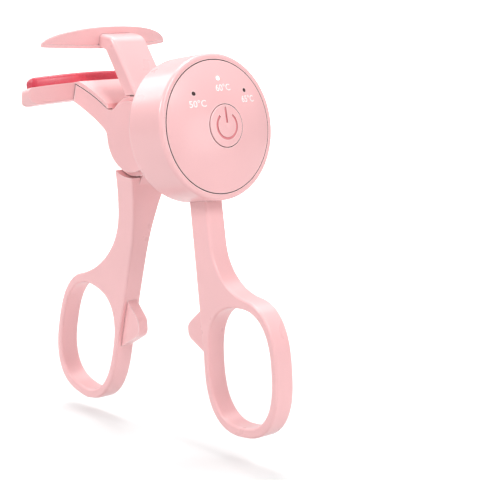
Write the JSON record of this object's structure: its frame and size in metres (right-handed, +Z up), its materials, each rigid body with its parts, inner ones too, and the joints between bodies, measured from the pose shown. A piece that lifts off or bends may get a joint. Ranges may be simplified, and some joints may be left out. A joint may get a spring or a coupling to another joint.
{
  "type": "eyelash curler",
  "caption": "Heated scissor-type eyelash curler with a curved silicone pad, a drum with a push button and lights, and two finger rings.",
  "frame": {"origin": "middle of the foot: the centre of the bounding box's base, 80.74 mm below the pivot's axis", "axes": "+Z up toward the jaws, +X from the eye toward the drum's front panel, Y along the pivot's axis; -Y is the near side"},
  "size_m": [0.0944, 0.0424, 0.1117],
  "materials": {
    "pink_shell": "satin light pink",
    "pink_panel": "satin light pink",
    "pink_cover": "satin light pink",
    "pink_button": "satin light pink",
    "pink_lever": "satin light pink",
    "rose_silicone": "soft, slightly glossy",
    "heater_film": "polyimide film",
    "light_pipe": "frosted clear",
    "steel": "machined",
    "spring_steel": "drawn wire",
    "bronze": "sintered",
    "acetal": "matt",
    "board_green": "solder mask",
    "led_white": "clear resin",
    "chip_black": "moulded epoxy",
    "switch_body": "matt",
    "cell_wrap": "foil pouch",
    "foam_black": "foam",
    "wire_red": "insulation",
    "usb_metal": "plated"
  },
  "bodies": {
    "base": {"jaw_frame": "pink_shell", "near_cover": "pink_cover", "far_cover": "pink_cover", "eyelash_pad": "rose_silicone", "heater_strip": "heater_film", "drum_housing": "pink_shell", "front_panel": "pink_panel", "light_windows": "light_pipe", "panel_screws": "steel", "frame_screws": "steel", "handle_screws": "steel", "circuit_board": "board_green", "status_leds": "led_white", "board_chips": "chip_black", "tact_switch": "switch_body", "battery": "cell_wrap", "battery_foam": "foam_black", "battery_wires": "wire_red", "usb_socket": "usb_metal", "heater_wires": "wire_red", "right_handle": "pink_shell", "pivot_pin": "steel", "pivot_washers": "acetal", "torsion_spring": "spring_steel"},
    "lever": {"upper_jaw": "pink_lever", "left_handle": "pink_lever", "lever_screws": "steel", "pivot_bush": "bronze"},
    "button": {"power_button": "pink_button", "switch_plunger": "acetal"}
  },
  "joints": [
    {"name": "jaw_close", "type": "hinge", "parent": "base", "child": "lever", "pos_m": [0.00297, 0, 0.08074], "axis": [0, -1, 0], "range_deg": [0, 20.7], "deforming": ["torsion_spring"]},
    {"name": "power_press", "type": "slide", "parent": "base", "child": "button", "axis": [-1, 0, 0], "range_m": [0, 0.0004], "stiffness_N_per_m": 500}
  ]
}
